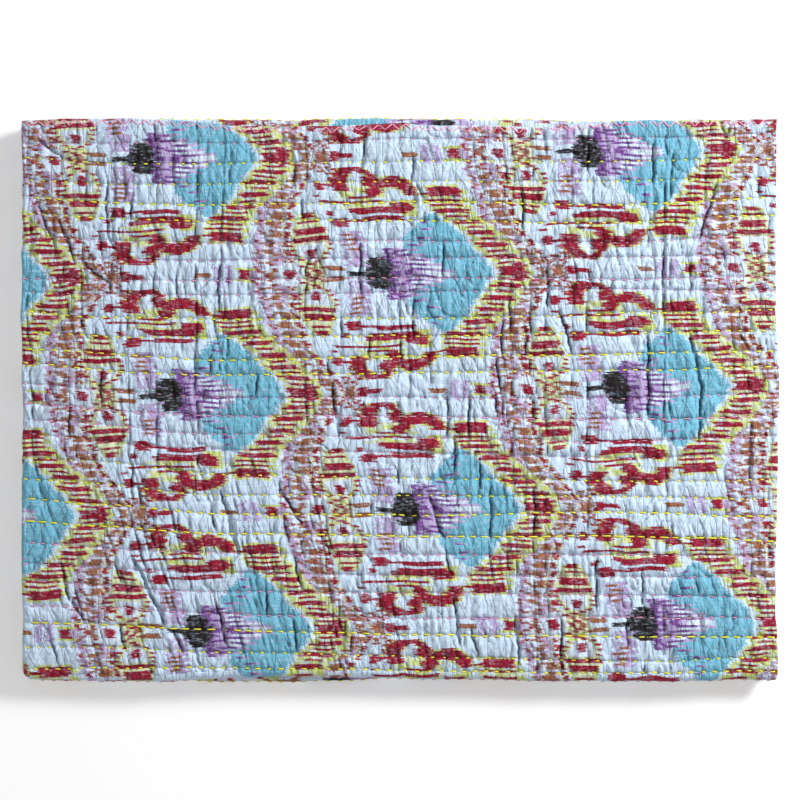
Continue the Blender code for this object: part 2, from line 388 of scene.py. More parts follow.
@functools.lru_cache(maxsize=None)
def puckers(row):
    """Upright puckers where they cross a row: x, depth there, depth in the band below, and steep side."""
    shared = np.random.default_rng(SEED + 300)
    x = -HALF_WIDTH - 20.0 + np.cumsum(shared.uniform(*PUCKER_STEP, int(3 * HALF_WIDTH / PUCKER_STEP[0])))
    x = x[: np.searchsorted(x, HALF_WIDTH + 20.0) + 1]
    common = 0.12 + 0.88 * shared.random(len(x)) ** 2.6
    facing = np.where(shared.random(len(x)) < 0.75, -1.0, 1.0)
    rng = np.random.default_rng(SEED + 301 + row)
    at_row, below = common * rng.uniform(0.1, 0.7, len(x)), common * rng.uniform(0.15, 1.1, len(x))
    return x + PUCKER_WANDER * drift(x, 14.0 * row, 45.0, SEED + 79), at_row, below, facing


def cusp(away, width):
    """Section of a pucker: a sharp valley between round shoulders."""
    return np.exp(-(np.sqrt(away * away + 0.2) - 0.45) / width)


def valley(aside, width):
    """Section of a pucker or crease: a wall steep on one side that eases off on the other."""
    return cusp(aside, width * np.where(aside > 0.0, GENTLE, STEEP))


def pucker_depth(band, part, x, y):
    """Depth of the puckers at places in one band."""
    upper, deep_above, deep, facing = puckers(band)
    lower, deep_below = puckers(band + 1)[:2]
    slant = PUCKER_LEAN * np.maximum(-60.0 - y, 0.0) * smooth(1.0 - (x + HALF_WIDTH) / 620.0)
    moved = x - slant - 1.6 * drift(x, y, 13.0, SEED + 75)
    shift = np.interp(moved, upper, lower - upper)
    left = np.clip(np.searchsorted(upper, moved - part * shift) - 1, 0, len(upper) - 2)
    depth = np.zeros_like(x)
    for near in (left, left + 1):
        at = upper[near] + part * (lower[near] - upper[near])
        size = np.where(
            part < 0.5,
            deep_above[near] + (deep[near] - deep_above[near]) * smooth(2.0 * part),
            deep[near] + (deep_below[near] - deep[near]) * smooth(2.0 * part - 1.0),
        )
        depth += size * valley(facing[near] * (moved - at), PUCKER_WIDTH)
    return PUCKER * (0.75 + 0.5 * drift(x, y, 42.0, SEED + 74)) * depth


def relief(row, part, x, y):
    """Height of the quilted face at places between two rows, above the plain sheet."""
    above, below = row_height(row, x), row_height(row + 1, x)
    gap = np.maximum(above - below, 1.0)
    nearest = np.minimum(part, 1.0 - part) * gap
    size = 0.8 + 0.35 * drift(x, y, 40.0, SEED + 70)
    height = PUFF * size * (1.0 - np.exp(-nearest / PUFF_WIDTH))
    for line, away in ((row, part * gap), (row + 1, (1.0 - part) * gap)):
        if not 0 < line <= len(ROWS):
            continue
        beat = np.cos(2 * math.pi * stitch_phase(line, x + 0.12 * away))
        deep = GROOVE * (0.75 + 0.4 * drift(x, 53.0 * line, 70.0, SEED + 76))
        height -= deep * (0.7 + 0.3 * beat) * cusp(away, GROOVE_WIDTH)
        strength = GATHER * (0.75 + 0.5 * drift(x, y, 30.0, SEED + 71))
        height -= strength * beat * np.exp(-away / GATHER_REACH)
    height += SWELL * drift(x, 0.5 * y, 9.0, SEED + 72) + CRUMPLE * drift(x, 0.45 * y, 4.5, SEED + 73)
    height -= CRACK * smooth(0.6 + drift(x, y, 33.0, SEED + 77)) * np.exp(
        -np.abs(drift(x + 0.2 * y, 0.6 * y, 11.0, SEED + 78)) / CRACK_WIDTH
    )
    return height - pucker_depth(row, part, x, y)


def crease_depth(x, y):
    """Depth of the main creases at places on the top face."""
    depth = np.zeros_like(x)
    for x0, y0, x1, y1, deep in CREASES:
        length = math.hypot(x1 - x0, y1 - y0)
        along = ((x - x0) * (x1 - x0) + (y - y0) * (y1 - y0)) / length
        aside = ((x - x0) * (y1 - y0) - (y - y0) * (x1 - x0)) / length
        aside = aside + 0.7 * np.sin(along * 0.17 + x0) + 0.35 * np.sin(along * 0.61 + y0)
        ends = smooth((along + CREASE_END) / (2 * CREASE_END))
        ends = ends * smooth((length + CREASE_END - along) / (2 * CREASE_END))
        depth += CREASE_GAIN * deep * ends * valley(aside, CREASE_WIDTH)
    return depth


def face_height(row, part, x, y):
    """Relief and main creases together, easing off at the free edges and never down to the sheet below."""
    edge = smooth((HALF_WIDTH + 1.0 - np.abs(x)) / 7.0)
    inside = np.minimum(HALF_WIDTH - np.abs(x), HALF_DEPTH - np.abs(y))
    base = RAISE * smooth(inside / RAISE_EDGE)
    height = edge * (base + relief(row, part, x, y) - crease_depth(x, y))
    return np.maximum(height, -LOWEST - loft(x, y))


# Slab in index space


def spread(start, end, cells):
    """Even stations from start to end, without the last."""
    return [start + (end - start) * k / cells for k in range(cells)]


EDGE_STATIONS = (0.0, 0.5, 1.6)
UPPER_X = [HALF_WIDTH - step for step in EDGE_STATIONS]
UPPER_X = UPPER_X[:-1] + spread(HALF_WIDTH - EDGE_STATIONS[-1], -373.0, 60) + [-373.0, -376.5]
BOOK_TURNS = (0.0, 30.0, 60.0, 90.0, 120.0, 150.0, 180.0)
LOWER_X = [-376.5] + spread(-373.0, HALF_WIDTH - EDGE_STATIONS[-1], 60)
LOWER_X = LOWER_X + [HALF_WIDTH - step for step in reversed(EDGE_STATIONS)]
U_UPPER = len(UPPER_X) - 1
U_BOOK = U_UPPER + len(BOOK_TURNS) - 1
U_COUNT = U_BOOK + len(LOWER_X) - 1

TOP_CELLS = 2 + len(ROWS) + 1
FOLD_TURNS = (0.0, 22.5, 45.0, 67.5, 90.0, 112.5, 135.0, 157.5, 180.0)
PLAIN_CELLS = 36
TAIL_CELLS = 38

# The face of the top run is a fine grid over the slab, cut along two stitched rows into three pieces
SUNK = 1.6
# Reach and depth of the painted shade: the cotton's colour is darkened in narrow creases
PAINTED_SHADE_REACH = 2
PAINTED_SHADE_DEPTH = 0.0024
FACE_CUTS = 11
ROW_CUTS = 14
BOOK_LAP = 4
FOLD_LAP = 5
FACE_PARTS = (
    # name, first row, last row
    ("quilt_face_back", 0, 10),
    ("quilt_face_middle", 10, 20),
    ("quilt_face_front", 20, len(ROWS) + 1),
)


def run_table():
    """Each run and fold in turn along the cloth, as (kind, number, first v, last v)."""
    table = []
    v = 0
    for run in range(RUNS):
        cells = (TOP_CELLS, PLAIN_CELLS, PLAIN_CELLS, TAIL_CELLS)[run]
        table.append(("run", run, v, v + cells))
        v += cells
        if run + 1 < RUNS:
            table.append(("fold", run, v, v + len(FOLD_TURNS) - 1))
            v += len(FOLD_TURNS) - 1
    return table, v


RUN_TABLE, V_COUNT = run_table()


def station(values, index):
    """Value at a whole or part index in a list of stations."""
    return np.interp(index, np.arange(len(values)), values)


def cloth_slab():
    """Closed slab in index space, one layer of points on each side of the cloth."""
    mesh = bmesh.new()
    grid = bmesh.ops.create_grid(mesh, x_segments=U_COUNT, y_segments=V_COUNT, size=0.5)
    for vert in grid["verts"]:
        vert.co.x = round((vert.co.x + 0.5) * U_COUNT)
        vert.co.y = round((vert.co.y + 0.5) * V_COUNT)
        vert.co.z = 1.0
    lower = bmesh.ops.extrude_face_region(mesh, geom=list(mesh.faces))
    for item in lower["geom"]:
        if isinstance(item, bmesh.types.BMVert):
            item.co.z = -1.0
    return mesh


def sunk(u, v, side):
    """Part of its half thickness that the slab keeps: less under the face, so that the face covers it."""
    aside = smooth((u - U_UPPER) / BOOK_LAP)
    beyond = smooth((v - TOP_CELLS) / FOLD_LAP)
    covered = (1.0 - aside) * (1.0 - beyond) * (side > 0)
    return 1.0 - SUNK * covered


def tucked(u, v):
    """Part of its half thickness at which the face lies: its last points tuck under the slab's skin."""
    aside = smooth((u - U_UPPER - BOOK_LAP + 0.9) / 0.9)
    beyond = smooth((v - TOP_CELLS - FOLD_LAP + 0.9) / 0.9)
    return 1.0 - 0.3 * np.maximum(aside, beyond)


def edge_round(away):
    """Part of its thickness that the cloth keeps at a distance from a free edge."""
    near = 1.0 - np.clip(away / EDGE_STATIONS[-1], 0.0, 1.0)
    return np.sqrt(np.maximum(1.0 - near * near, 0.02))


def top_places(v, x, start, end):
    """Y along the top run, and the row and part of its band of each point."""
    index = np.clip(v - 2.0, 0.0, None)
    row = np.clip(np.floor(index).astype(int), 0, len(ROWS))
    part = index - row
    eased = 0.55 * part + 0.45 * (0.5 - 0.5 * np.cos(math.pi * part))
    lines = np.array([row_height(k, x) for k in range(len(ROWS) + 1)] + [end])
    column = np.arange(len(x))
    above, below = lines[row, column], lines[np.minimum(row + 1, len(ROWS) + 1), column]
    above = np.where(row == 0, start - EDGE_STATIONS[-1], above)
    y = above + (below - above) * eased
    rim = start - station(EDGE_STATIONS, np.minimum(v, 2.0))
    return np.where(v < 2.0, rim, y), row, eased


def carry(u, v, side, lift, quilted):
    """Places of points in the folded stack, and where they lie on the flat cloth with its rows counted."""
    turn = np.radians(np.interp(u, np.arange(U_UPPER, U_BOOK + 1), BOOK_TURNS))
    upper, lower = u <= U_UPPER, u >= U_BOOK
    flat_x = np.where(upper, station(UPPER_X, u), station(LOWER_X, u - U_BOOK))
    free = HALF_WIDTH - flat_x
    thick = SHEET / 2 * edge_round(np.where(upper | lower, free, 99.0))
    kinds = np.zeros(len(u), int)
    for number, (kind, run, first, last) in enumerate(RUN_TABLE):
        kinds[v > first - 1e-9] = number
    tail_start = RUN_TABLE[-1][3] - 2
    tail_gap = station(EDGE_STATIONS, RUN_TABLE[-1][3] - np.clip(v, tail_start, None))
    away_v = np.where(v < 2.0, station(EDGE_STATIONS, v), np.where(v > tail_start, tail_gap, 99.0))
    thick = thick * edge_round(away_v)
    reach = OFFSET + side * thick * lift
    folded = ~(upper | lower)
    x = np.where(folded, UPPER_X[-1] - reach * np.sin(turn), flat_x)
    layer = np.where(folded, reach * np.cos(turn), np.where(upper, reach, -reach))
    cloth_x = np.where(upper, x, np.where(lower, -2 * HALF_WIDTH - x, UPPER_X[-1] - OFFSET * turn))
    places = np.zeros((len(u), 3))
    cloth_y = np.zeros_like(u)
    counted = np.zeros_like(u)
    passed = 0.0
    for number, (kind, run, first, last) in enumerate(RUN_TABLE):
        here = kinds == number
        ux, uv, ul = x[here], v[here], layer[here]
        start, end = run_ends(run, ux)
        facing = 1.0 if run % 2 == 0 else -1.0
        level = run_level(run)
        if kind == "run":
            part = (uv - first) / (last - first)
            if run == RUNS - 1:
                inner = np.clip((uv - first) / (last - 2 - first), 0.0, 1.0)
                y = start + inner * (end - EDGE_STATIONS[-1] - start)
                y = np.where(uv > last - 2, end - tail_gap[here], y)
            else:
                y = start + part * (end - start)
            z = level + facing * ul
            if run == 0:
                y, row, inner = top_places(uv, ux, start, end)
                counted[here] = row + inner
                z = z + np.where(u[here] <= U_UPPER, loft(ux, y), 0.0)
                for band in range(len(ROWS) + 1) if quilted else ():
                    pick = (row == band) & (u[here] <= U_UPPER + 2)
                    z[pick] += face_height(band, inner[pick], ux[pick], y[pick])
            shifted = ux + side_shift(run, ux, y)
            cloth_y[here] = y if run == 0 else HALF_DEPTH - passed - np.abs(y - start)
            passed += 2 * (HALF_DEPTH - REACH) + (REACH if run == 0 else 0.0)
        else:
            angle = np.radians(np.interp(uv, np.arange(first, last + 1), FOLD_TURNS))
            radius = FOLD_RADIUS + facing * ul
            y = end - facing * radius * np.sin(angle)
            z = level - FOLD_RADIUS + radius * np.cos(angle)
            eased = smooth(angle / math.pi)
            shifted = ux + side_shift(run, ux, end) * (1 - eased) + side_shift(run + 1, ux, end) * eased
            cloth_y[here] = HALF_DEPTH - passed - FOLD_RADIUS * angle
            if run == 0:
                cloth_y[here] = end - FOLD_RADIUS * angle
            passed += math.pi * FOLD_RADIUS
        moved_x, moved_y = waver(run, ux, y)
        if kind == "fold":
            next_x, next_y = waver(run + 1, ux, y)
            moved_x, moved_y = moved_x + (next_x - moved_x) * eased, moved_y + (next_y - moved_y) * eased
        places[here] = np.stack([shifted + moved_x, y + moved_y, z * press(ux, y)], axis=1)
    counted = np.where((kinds == 0) & upper, counted, (HALF_DEPTH - ROW_START - cloth_y) / ROW_PITCH)
    return places, np.stack([cloth_x, cloth_y, counted], axis=1)


def to_world(places):
    """Millimetres in the fold's own frame to metres in the record's frame."""
    return (places - np.array([CENTRE_X, CENTRE_Y, 0.0])) * MM


def add_object(name, data, material):
    """Smooth mesh object with one material."""
    data.update()
    data.shade_smooth()
    data.materials.append(material)
    item = bpy.data.objects.new(name, data)
    bpy.context.scene.collection.objects.link(item)
    return item


def make_object(name, verts, faces, material):
    """Mesh object from points and faces."""
    data = bpy.data.meshes.new(name)
    data.from_pydata(np.asarray(verts).tolist(), [], faces if isinstance(faces, list) else faces.tolist())
    return add_object(name, data, material)


def mark_cloth(data, cloth):
    """Store where each point lies on the flat cloth, for the print."""
    field = data.attributes.new("cloth", "FLOAT_VECTOR", "POINT")
    field.data.foreach_set("vector", np.ascontiguousarray(cloth, dtype=float).ravel())


def make_layers(material):
    """The whole folded cloth as one closed sheet."""
    slab = cloth_slab()
    data = bpy.data.meshes.new("quilt_layers")
    slab.to_mesh(data)
    slab.free()
    count = len(data.vertices)
    spots = np.zeros(count * 3)
    data.vertices.foreach_get("co", spots)
    u, v, side = spots.reshape(-1, 3).T
    places, cloth = carry(u, v, side, sunk(u, v, side), False)
    data.vertices.foreach_set("co", to_world(places).ravel())
    mark_cloth(data, cloth)
    return add_object("quilt_layers", data, material)


def fine(first, last, cuts):
    """Index stations from first to last with whole cells cut into parts, without the last."""
    return list(np.arange(first * cuts, last * cuts) / cuts)


def painted_crease_shade(height):
    """Painted shade: how far each point of a grid lies in a narrow upright crease, from 0 to 1, for darkening
    the colour there.
    """
    wide = np.pad(height, ((0, 0), (PAINTED_SHADE_REACH, PAINTED_SHADE_REACH)), mode="edge")
    beside = (wide[:, : -2 * PAINTED_SHADE_REACH] + wide[:, 2 * PAINTED_SHADE_REACH :]) / 2
    return smooth((beside - height) / PAINTED_SHADE_DEPTH)


def make_face(material):
    """Quilted face of the top run, in three pieces that meet along stitched rows."""
    u = np.array(fine(0, 2, 1) + fine(2, U_UPPER - 1, FACE_CUTS) + fine(U_UPPER - 1, U_UPPER, 3)
                 + fine(U_UPPER, U_UPPER + BOOK_LAP, 2) + [U_UPPER + BOOK_LAP])
    v = np.array(fine(0, 2, 1) + fine(2, TOP_CELLS, ROW_CUTS)
                 + fine(TOP_CELLS, TOP_CELLS + FOLD_LAP, 2) + [TOP_CELLS + FOLD_LAP])
    across, along = (grid.ravel() for grid in np.meshgrid(u, v))
    places, cloth = carry(across, along, np.ones_like(across), tucked(across, along), True)
    places = to_world(places).reshape(len(v), len(u), 3)
    cloth = cloth.reshape(len(v), len(u), 3)
    normals = np.cross(np.gradient(places, axis=1), np.gradient(places, axis=0))
    normals /= np.linalg.norm(normals, axis=2, keepdims=True)
    # Painted shade: how deep each point lies in a narrow crease, kept on the face to darken its colour there
    painted_shade = painted_crease_shade(places[:, :, 2])
    made = []
    for name, first, last in FACE_PARTS:
        top = 0 if first == 0 else int(np.searchsorted(v, 2 + first - SNAP))
        bottom = len(v) - 1 if last > len(ROWS) else int(np.searchsorted(v, 2 + last - SNAP))
        rows = slice(top, bottom + 1)
        number = np.arange((bottom - top + 1) * len(u)).reshape(-1, len(u))
        quads = np.stack([number[:-1, :-1], number[:-1, 1:], number[1:, 1:], number[1:, :-1]], axis=-1)
        item = make_object(name, places[rows].reshape(-1, 3), quads.reshape(-1, 4), material)
        mark_cloth(item.data, cloth[rows].reshape(-1, 3))
        item.data.attributes.new("painted_shade", "FLOAT", "POINT").data.foreach_set("value", painted_shade[rows].ravel())
        item.data.normals_split_custom_set_from_vertices(normals[rows].reshape(-1, 3).tolist())
        made.append(item)
    return made


# Print: a warp-faced ikat repeat, charted as shapes
# s runs along the rows and w across them, both in chart units of UNIT millimetres

UNIT = 1.007
HALF = 222.5
BAND = 117.75
CUT = -60.0
CHART_ROWS = 50
CHART_STEPS = 256
MAX_STOPS = 32
ROW_STEP = BAND / CHART_ROWS

GROUND, TEAL, BLACK, PURPLE, LILAC, CRIMSON, LIME, CREAM, BROWN, MAUVE, PALE = range(11)
COLOURS = {
    GROUND: (200, 221, 242),
    TEAL: (114, 182, 208),
    BLACK: (34, 30, 32),
    PURPLE: (116, 72, 144),
    LILAC: (178, 160, 206),
    CRIMSON: (146, 16, 46),
    LIME: (194, 208, 118),
    CREAM: (206, 216, 178),
    BROWN: (150, 96, 68),
    MAUVE: (176, 156, 194),
    PALE: (206, 222, 240),
}

DROP = (
    # w, left, right
    (0, 70, 112),
    (4, 64, 110),
    (9, 50, 107),
    (13, 40, 104),
    (20, 30, 99),
    (26, 26, 92),
    (34, 28, 86),
    (42, 34, 80),
    (50, 44, 72),
    (56, 50, 64),
    (60, 55, 58),
)
CHEVRON = (
    # w, inner, outer
    (0, 116, 151),
    (8, 113, 150),
    (18, 105, 143),
    (26, 95, 136),
    (36, 89, 127),
    (46, 80, 116),
    (56, 66, 106),
    (62, 56, 101),
    (70, 51, 97),
    (80, 50, 95),
    (86, 54, 90),
)
COLUMN = (
    # w, middle, half width
    (0, -106, 27),
    (14, -106, 23),
    (30, -105, 19),
    (60, -99, 19),
    (74, -93, 18),
    (86, -85, 18),
    (100, -72, 14),
    (110, -62, 11),
    (118, -54, 8),
)
STREAKS = (
    # w, first s, last s
    (0.5, 26, 44),
    (3.5, 30, 72),
    (8.2, 24, 62),
    (13.0, 30, 56),
    (17.5, 18, 48),
    (22.5, 16, 40),
    (28.0, 30, 46),
    (33.5, 42, 55),
    (43.0, 46, 57),
    (50.0, 47, 54),
)
FLOWER = (
    # row, first s, last s, colour
    (0, -76, -70, CRIMSON),
    (0, -66, -58, BROWN),
    (1, -79, -74, LIME),
    (1, -70, -62, CRIMSON),
    (2, -74, -66, BROWN),
    (2, -62, -52, BROWN),
    (3, -80, -73, CRIMSON),
    (3, -67, -60, LIME),
    (4, -72, -63, CRIMSON),
    (5, -78, -70, LIME),
    (5, -65, -58, CRIMSON),
)
SPINDLE_WIDTH = (
    # w, half width
    (15, 9),
    (20, 14),
    (26, 17),
    (32, 17),
    (36, 16),
    (44, 14),
    (52, 11),
    (60, 7),
    (62, 4),
)
SPINDLE_BARS = (
    # first w, last w, overhang
    (33.5, 37.5, 3),
    (40.0, 41.8, 0),
    (43.5, 46.5, 1),
    (49.0, 50.6, -2),
    (52.0, 53.6, 0),
    (55.5, 61.0, -1),
)
SCROLL_BARS = (
    # first s, last s, first w, last w
    (-42, -24, 47.5, 56),
    (-24, -10, 52, 54),
    (-12, 31, 51, 57),
    (-18, 34, 58.5, 60.5),
    (-25, 18, 61.5, 66),
    (16, 41, 61, 69.5),
    (-47, -38, 58.5, 63.5),
    (-30, 12, 67.5, 69),
    (-56, 14, 71, 73.5),
    (-24, 8, 76, 78.5),
    (-60, -50, 75, 77),
    (-58, -46, 82.5, 91),
    (-45, -30, 93, 95.5),
    (-42, -30, 98.5, 101),
    (-38, -29, 103.5, 105.5),
)


class Chart:
    """One motif of the print, painted shape over shape."""

    def __init__(self, s, w):
        self.s = s
        self.w = w
        self.row = np.floor(w / ROW_STEP)
        self.label = np.full(s.shape, -1)
        self.fleck = np.sin(s * 0.9 + self.row * 2.4) + np.sin(s * 0.37 - self.row * 1.7)
        self.blot = np.sin(s * 0.55 + self.row * 4.1 + 1.0) + np.sin(s * 0.21 + self.row * 2.9)

    def put(self, mask, colour):
        """Paint one shape."""
        self.label[mask] = colour

    def block(self, s0, s1, w0, w1):
        """Mask of a plain block."""
        return (self.s > s0) & (self.s < s1) & (self.w > w0) & (self.w < w1)

    def oval(self, s, w, radius_s, radius_w):
        """Distance from the middle of an oval, 1 on its edge."""
        return np.hypot((self.s - s) / radius_s, (self.w - w) / radius_w)


def chart_column(chart):
    """Speckled column between two motifs: mauve with brown bars, and small crimson bars along its sides."""
    s, w = chart.s, chart.w
    middle, half = lookup(COLUMN, w, 1), lookup(COLUMN, w, 2)
    body = np.abs(s - middle) < half
    chart.put(body, PALE)
    rng = np.random.default_rng(SEED + 500)
    for number in range(CHART_ROWS):
        line = body & (chart.row == number)
        for side in (-1.0, rng.uniform(-0.3, 0.2)):
            start, length = side + rng.uniform(0.0, 0.3), rng.uniform(0.2, 0.6)
            chart.put(line & (s > middle + half * start) & (s < middle + half * (start + length)), MAUVE)
        left = middle + rng.uniform(-10.0, -1.0)
        long = rng.uniform(5.0, 13.0) + (6.0 if 14 < number < 34 else 0.0)
        if number % 4 < 3:
            chart.put(line & (s > left) & (s < left + long), BROWN)
        if number % 4 == 1:
            chart.put(line & (s > left - 9.0) & (s < left - 4.0), BROWN)
        left = middle + half * rng.uniform(0.5, 0.7)
        if number % 4 != 3:
            chart.put(line & (s > left - 2.0) & (s < left + 10.0), CREAM)
            chart.put(line & (s > left) & (s < left + rng.uniform(4.0, 8.0)), CRIMSON)
        if number % 4 == 2:
            left = middle - half * rng.uniform(0.75, 0.95)
            chart.put(line & (s > left) & (s < left + 4.5), CRIMSON)
    chart.put(chart.block(-126, -82, -1, 16) & (chart.blot > 1.25), CRIMSON)


def chart_chevron(chart):
    """Barred chevron in front of the drop, in thick and thin bars by turns."""
    s, w, row = chart.s, chart.w, chart.row
    inner, outer = lookup(CHEVRON, w, 1), lookup(CHEVRON, w, 2)
    band = (w < 86) & (s > inner) & (s < outer)
    bars = band & (w < 74)
    chart.put(band, CREAM)
    chart.put(band & (np.sin(s * 0.31 + row * 2.1) > 0.3), LIME)
    chart.put(band & ((s - inner < 5) | (outer - s < 6)), LIME)
    chart.put(band & (np.sin(s * 0.23 + row * 4.3) > 0.8), PALE)
    turn = (row + 1) % 5
    first, last = s - inner + 3.0 * np.sin(row * 2.3), outer - s + 3.0 * np.sin(row * 3.7)
    chart.put(bars & (turn >= 1) & (turn <= 2) & (first > 3) & (last > 5), CRIMSON)
    chart.put(bars & (turn == 4) & (first > 7) & (last > 8), CRIMSON)
    chart.put(band & (w > 3) & (w < 17) & (last > 5) & (last < 20) & (turn != 0), CRIMSON)
    chart.put(chart.block(56, 89, 75.5, 84), CRIMSON)
    chart.put(chart.block(47, 58, 78, 81), CRIMSON)


def chart_drop(chart):
    """Teal drop with its black head, purple ring and streaks."""
    s, w = chart.s, chart.w
    left, right = lookup(DROP, w, 1), lookup(DROP, w, 2)
    chart.put((w < 60) & (s > left) & (s < right), TEAL)
    chart.put((w < 18) & (s > 14) & (s < left + 4), PALE)
    chart.put((w < 27) & (s > 10) & (s < 36 - 0.5 * w), LILAC)
    for at, s0, s1 in STREAKS:
        chart.put((np.abs(w - at) < 1.2) & (s > s0) & (s < s1), LILAC)
        chart.put((np.abs(w - at) < 1.2) & (s > s0) & (s < 0.45 * s0 + 0.55 * s1), PURPLE)
    ring = (w < 26) & (s > 5) & (s < 22 - 0.014 * w * w + 5 * np.sin(chart.row * 1.9))
    chart.put(ring & ((chart.row % 2 == 0) | (s < 14)), PURPLE)
    chart.put((chart.oval(-1.5, 0, 14.5, 17.5) < 1) & (s < 12 + 1.5 * np.sin(chart.row * 2.6)), BLACK)
    chart.put((w < 5) & (s > 1.2 * w - 19) & (s < 0), BLACK)
    chart.put(chart.block(-32, -12, -1, 1.3), BLACK)


def chart_patches(chart):
    """Lilac and brown patches, feathers and a small flower left of the head."""
    s, w = chart.s, chart.w
    rng = np.random.default_rng(SEED + 501)
    for number in range(3, 18):
        line = chart.row == number
        left = rng.uniform(-37, -31) + (3 if number < 5 else 0)
        chart.put(line & (s > left) & (s < left + rng.uniform(13, 24)), LILAC)
        chart.put(line & (s > left + 4) & (s < left + rng.uniform(6, 11)), PALE)
        if number % 3 == 0:
            chart.put(line & (s > left + 9) & (s < left + 17), MAUVE)
        if number > 9 and number % 2 == 0:
            chart.put(line & (s > left + 2) & (s < left + 14), BROWN)
    feather = (np.abs(w - 5.5 + (s + 52) * 0.12) < 2.2) & (s > -55) & (s < -37)
    chart.put(feather, BROWN)
    chart.put(chart.block(-80, -56, -1, 15), CREAM)
    for number, s0, s1, colour in FLOWER:
        chart.put((chart.row == number) & (s > s0) & (s < s1), colour)


def chart_spindle(chart):
    """Barred spindle with a dot in a pale ring."""
    w, row = chart.w, chart.row
    away = np.abs(chart.s + 66)
    body = (w > 15) & (w < 62)
    half = lookup(SPINDLE_WIDTH, w, 1)
    chart.put(body & (away < half + 2), LIME)
    chart.put(body & (away < half - 1), CREAM)
    chart.put(body & (away < half - 3) & (w < 31), PALE)
    chart.put((w > 17) & (w < 26) & (away < 5.5 - 0.5 * np.abs(w - 22)), CRIMSON)
    chart.put(body & (away > half - 1) & (away < half + 5) & (w < 31) & (row % 2 == 0), CRIMSON)
    for w0, w1, over in SPINDLE_BARS:
        chart.put((w > w0) & (w < w1) & (away < half + over), CRIMSON)


def chart_scroll(chart):
    """Scroll of bars with an arch and a curl above it."""
    s, w, row = chart.s, chart.w, chart.row
    chart.put(chart.block(-34, 18, 65, 86) & (row % 2 == 0), CREAM)
    chart.put(chart.block(-30, 14, 66, 84) & (np.sin(s * 0.2 + row * 1.9) > 0.1), LIME)
    chart.put(chart.block(28, 43, 57, 72), LIME)
    for s0, s1, w0, w1 in SCROLL_BARS:
        taper = 5.0 * np.abs(w - (w0 + w1) / 2) / (w1 - w0) * min(1.0, (s1 - s0) / 12.0)
        chart.put((s > s0 + taper) & (s < s1 - taper) & (w > w0) & (w < w1), CRIMSON)
    outside, inside = chart.oval(22, 79, 24.0, 17.0), chart.oval(19.5, 77, 14.0, 8.5)
    chart.put((w > 77) & (outside < 1.08) & (inside > 0.8), LIME)
    chart.put((w > 78) & (outside < 1) & (inside > 1), CRIMSON)
    chart.put(chart.oval(3, 82, 9.0, 4.5) < 1, CRIMSON)
    outside, inside = chart.oval(-16, 91, 23.0, 16.0), chart.oval(-12.5, 91, 11.0, 9.5)
    hook = (w > 91) | ((s < -22) & (w > 83))
    chart.put((outside < 1.06) & (inside > 0.85) & hook & (chart.row % 3 != 0), LIME)
    chart.put((outside < 1) & (inside > 1) & hook, CRIMSON)
    chart.put(chart.block(-39, -25, 83, 95), CRIMSON)
    chart.put(chart.block(-57, -36, 86, 90), CRIMSON)
    chart.put(chart.oval(-2, 92.5, 8.5, 5.5) < 1, CRIMSON)


def chart_axis(chart):
    """Arrow, patches and dots on the axis between two scrolls."""
    s, w = chart.s, chart.w
    near = BAND - w
    chart.put((s > -37) & (s < -9) & (near < 5.2 - 0.17 * (s + 37)), CRIMSON)
    chart.put((s > -48) & (s < -39) & (near < 5.5), BROWN)
    fringe = chart.block(-52, -36, 100, 113)
    chart.put(fringe & (chart.fleck > 0.5), CRIMSON)
    chart.put(fringe & (chart.blot > 0.6), BROWN)
    chart.put((s > 36) & (s < 52) & (near < 3.2), BROWN)
    chart.put((s > 53) & (s < 78) & (near < 11 - 0.1 * np.abs(s - 65)) & (np.sin(s * 0.55) > -0.3), LILAC)
    chart.put((s > 82) & (s < 93) & (near < 4.5), CRIMSON)
    chart.put((s > 77) & (s < 97) & (near >= 4.5) & (near < 8), LIME)
    away = np.hypot(s + 90, w)
    chart.put((away < 13) & (w < 30), PALE)
    chart.put(away < 5.8, CRIMSON)


CHART_PARTS = (
    chart_column,
    chart_chevron,
    chart_drop,
    chart_patches,
    chart_spindle,
    chart_scroll,
    chart_axis,
)


def chart_rows():
    """Colour labels of the smallest repeat, one list for each row."""
    w = (np.arange(CHART_ROWS) + 0.5) * ROW_STEP
    s = CUT + (np.arange(CHART_STEPS) + 0.5) * HALF / CHART_STEPS
    s, w = np.meshgrid(s, w)
    label = np.full(s.shape, GROUND)
    for shift in (1, -1, 0):
        chart = Chart(s + shift * HALF, BAND - w if shift else w)
        for part in CHART_PARTS:
            part(chart)
        label = np.where(chart.label >= 0, chart.label, label)
    return label


def spans(labels):
    """Runs of one colour along a row as [first, label], without the shortest where a ramp can't hold them."""
    found = [[0, int(labels[0])]]
    for place, value in enumerate(labels):
        if value != found[-1][1]:
            found.append([place, int(value)])
    while len(found) > MAX_STOPS:
        ends = [item[0] for item in found[1:]] + [CHART_STEPS]
        lengths = [end - item[0] for item, end in zip(found, ends)]
        shortest = lengths.index(min(lengths[1:]), 1)
        del found[shortest]
    return found


# Materials


def linear(colour):
    """Colour value from 0 to 255 as linear light."""
    part = colour / 255.0
    return part / 12.92 if part <= 0.04045 else ((part + 0.055) / 1.055) ** 2.4


def rgba(colour):
    """Colour triple from 0 to 255 as linear RGBA."""
    return tuple(linear(value) for value in colour) + (1.0,)


